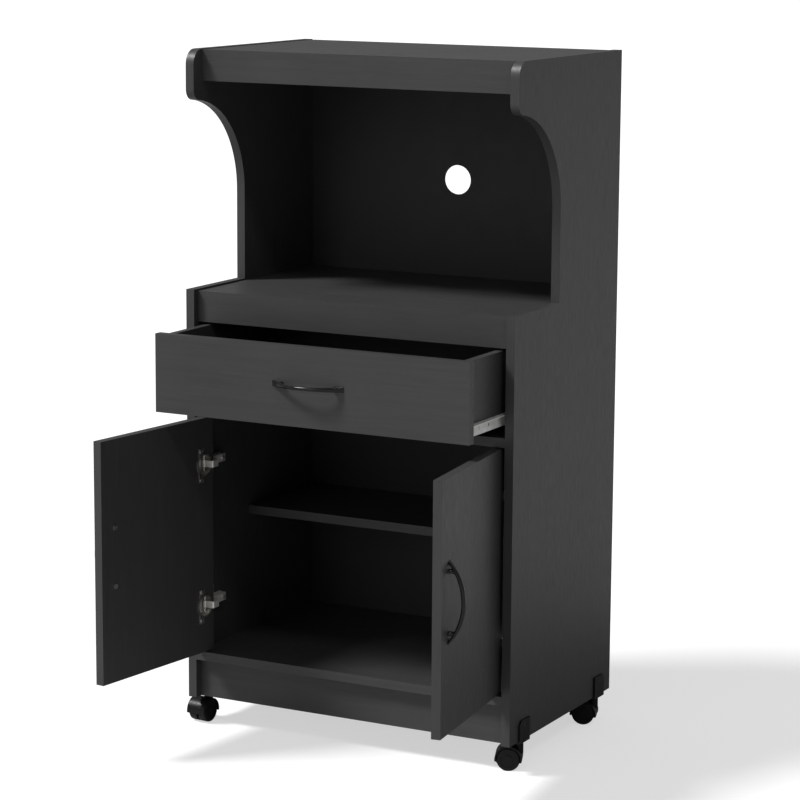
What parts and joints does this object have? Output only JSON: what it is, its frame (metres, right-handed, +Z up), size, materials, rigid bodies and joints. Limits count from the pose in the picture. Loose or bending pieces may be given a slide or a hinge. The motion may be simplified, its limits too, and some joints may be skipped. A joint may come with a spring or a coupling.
{
  "type": "microwave storage cart",
  "caption": "Kitchen storage cart on casters with an open hutch, a drawer on roller slides and a two-door cupboard with a shelf.",
  "frame": {"origin": "on the floor under the centre of the cabinet's footprint", "axes": "+Z up, -Y towards the doors and drawer front, +X to the right when facing them"},
  "size_m": [0.6662, 0.6587, 1.135],
  "materials": {
    "laminate": "black melamine laminate on particle board, fine wood-grain emboss, satin",
    "hardboard": "black foil on thin hardboard, matte",
    "dowel_wood": "plain fluted birch",
    "zinc_steel": "zinc plated, satin",
    "dark_screw": "black oxide steel",
    "slide_steel": "white powder coat",
    "roller_plastic": "white nylon",
    "handle_plastic": "gloss black",
    "caster_plastic": "black moulded nylon",
    "wheel_plastic": "black moulded nylon tread"
  },
  "bodies": {
    "cabinet": {"base_side_left": "laminate", "base_side_right": "laminate", "worktop": "laminate", "worktop_apron": "laminate", "divider_panel": "laminate", "cabinet_shelf": "laminate", "shelf_pins": "zinc_steel", "cabinet_floor": "laminate", "plinth_front": "laminate", "rear_rail": "laminate", "cabinet_back": "hardboard", "hutch_side_left": "laminate", "hutch_side_right": "laminate", "hutch_top": "laminate", "hutch_apron": "laminate", "hutch_back": "hardboard", "cam_bolts": "zinc_steel", "cam_locks": "zinc_steel", "wood_dowels": "dowel_wood", "back_nails": "zinc_steel", "caster_brackets": "caster_plastic", "bracket_screws": "dark_screw", "hinge_plates": "zinc_steel", "hinge_arms": "zinc_steel", "cabinet_screws": "zinc_steel", "slide_channel_left": "slide_steel", "slide_channel_right": "slide_steel"},
    "drawer": {"drawer_front": "laminate", "drawer_side_left": "laminate", "drawer_side_right": "laminate", "drawer_back": "laminate", "drawer_bottom": "hardboard", "drawer_runner_left": "slide_steel", "drawer_runner_right": "slide_steel", "drawer_handle": "handle_plastic", "drawer_fasteners": "zinc_steel"},
    "channel_roller_left": {"channel_roller_left": "roller_plastic"},
    "channel_roller_right": {"channel_roller_right": "roller_plastic"},
    "runner_roller_left": {"runner_roller_left": "roller_plastic"},
    "runner_roller_right": {"runner_roller_right": "roller_plastic"},
    "door_left": {"door_left": "laminate", "door_left_handle": "handle_plastic", "door_left_hinge_cups": "zinc_steel", "door_left_screws": "zinc_steel"},
    "door_right": {"door_right": "laminate", "door_right_handle": "handle_plastic", "door_right_hinge_cups": "zinc_steel", "door_right_screws": "zinc_steel"},
    "caster_front_left": {"caster_hood_front_left": "caster_plastic", "caster_pins_front_left": "zinc_steel"},
    "wheels_front_left": {"caster_wheels_front_left": "wheel_plastic"},
    "caster_front_right": {"caster_hood_front_right": "caster_plastic", "caster_pins_front_right": "zinc_steel"},
    "wheels_front_right": {"caster_wheels_front_right": "wheel_plastic"},
    "caster_rear_left": {"caster_hood_rear_left": "caster_plastic", "caster_pins_rear_left": "zinc_steel"},
    "wheels_rear_left": {"caster_wheels_rear_left": "wheel_plastic"},
    "caster_rear_right": {"caster_hood_rear_right": "caster_plastic", "caster_pins_rear_right": "zinc_steel"},
    "wheels_rear_right": {"caster_wheels_rear_right": "wheel_plastic"}
  },
  "joints": [
    {"name": "drawer_slide", "type": "slide", "parent": "cabinet", "child": "drawer", "axis": [0, -1, 0], "range_m": [-0.121, 0.139]},
    {"name": "door_left_swing", "type": "hinge", "parent": "cabinet", "child": "door_left", "pos_m": [-0.271, -0.1915, 0.3325], "axis": [0, 0, 1], "range_deg": [-8, 97]},
    {"name": "door_right_swing", "type": "hinge", "parent": "cabinet", "child": "door_right", "pos_m": [0.271, -0.1915, 0.3325], "axis": [0, 0, 1], "range_deg": [-97, 8]},
    {"name": "channel_roller_left_spin", "type": "hinge", "parent": "cabinet", "child": "channel_roller_left", "pos_m": [-0.27905, -0.1655, 0.5765], "axis": [1, 0, 0], "range_deg": [-930, 1070]},
    {"name": "runner_roller_left_spin", "type": "hinge", "parent": "drawer", "child": "runner_roller_left", "pos_m": [-0.27845, 0.0315, 0.5765], "axis": [1, 0, 0], "range_deg": [-930, 1070]},
    {"name": "channel_roller_right_spin", "type": "hinge", "parent": "cabinet", "child": "channel_roller_right", "pos_m": [0.27905, -0.1655, 0.5765], "axis": [1, 0, 0], "range_deg": [-930, 1070]},
    {"name": "runner_roller_right_spin", "type": "hinge", "parent": "drawer", "child": "runner_roller_right", "pos_m": [0.27845, 0.0315, 0.5765], "axis": [1, 0, 0], "range_deg": [-930, 1070]},
    {"name": "caster_front_left_swivel", "type": "hinge", "parent": "cabinet", "child": "caster_front_left", "pos_m": [-0.2925, -0.1465, 0.045], "axis": [0, 0, 1], "continuous": true},
    {"name": "wheels_front_left_roll", "type": "hinge", "parent": "caster_front_left", "child": "wheels_front_left", "pos_m": [-0.29389, -0.16244, 0.019], "axis": [-0.9962, 0.0872, 0], "continuous": true},
    {"name": "caster_front_right_swivel", "type": "hinge", "parent": "cabinet", "child": "caster_front_right", "pos_m": [0.2925, -0.1465, 0.045], "axis": [0, 0, 1], "continuous": true},
    {"name": "wheels_front_right_roll", "type": "hinge", "parent": "caster_front_right", "child": "wheels_front_right", "pos_m": [0.27766, -0.15249, 0.019], "axis": [-0.3746, 0.9272, 0], "continuous": true},
    {"name": "caster_rear_left_swivel", "type": "hinge", "parent": "cabinet", "child": "caster_rear_left", "pos_m": [-0.2925, 0.1465, 0.045], "axis": [0, 0, 1], "continuous": true},
    {"name": "wheels_rear_left_roll", "type": "hinge", "parent": "caster_rear_left", "child": "wheels_rear_left", "pos_m": [-0.30476, 0.13622, 0.019], "axis": [-0.6428, 0.766, 0], "continuous": true},
    {"name": "caster_rear_right_swivel", "type": "hinge", "parent": "cabinet", "child": "caster_rear_right", "pos_m": [0.2925, 0.1465, 0.045], "axis": [0, 0, 1], "continuous": true},
    {"name": "wheels_rear_right_roll", "type": "hinge", "parent": "caster_rear_right", "child": "wheels_rear_right", "pos_m": [0.27712, 0.14209, 0.019], "axis": [-0.2756, 0.9613, 0], "continuous": true}
  ],
  "couplings": [
    {"joint": "channel_roller_left_spin", "follows": "drawer_slide", "rad_per_m": 133.33},
    {"joint": "runner_roller_left_spin", "follows": "drawer_slide", "rad_per_m": 133.33},
    {"joint": "channel_roller_right_spin", "follows": "drawer_slide", "rad_per_m": 133.33},
    {"joint": "runner_roller_right_spin", "follows": "drawer_slide", "rad_per_m": 133.33}
  ]
}
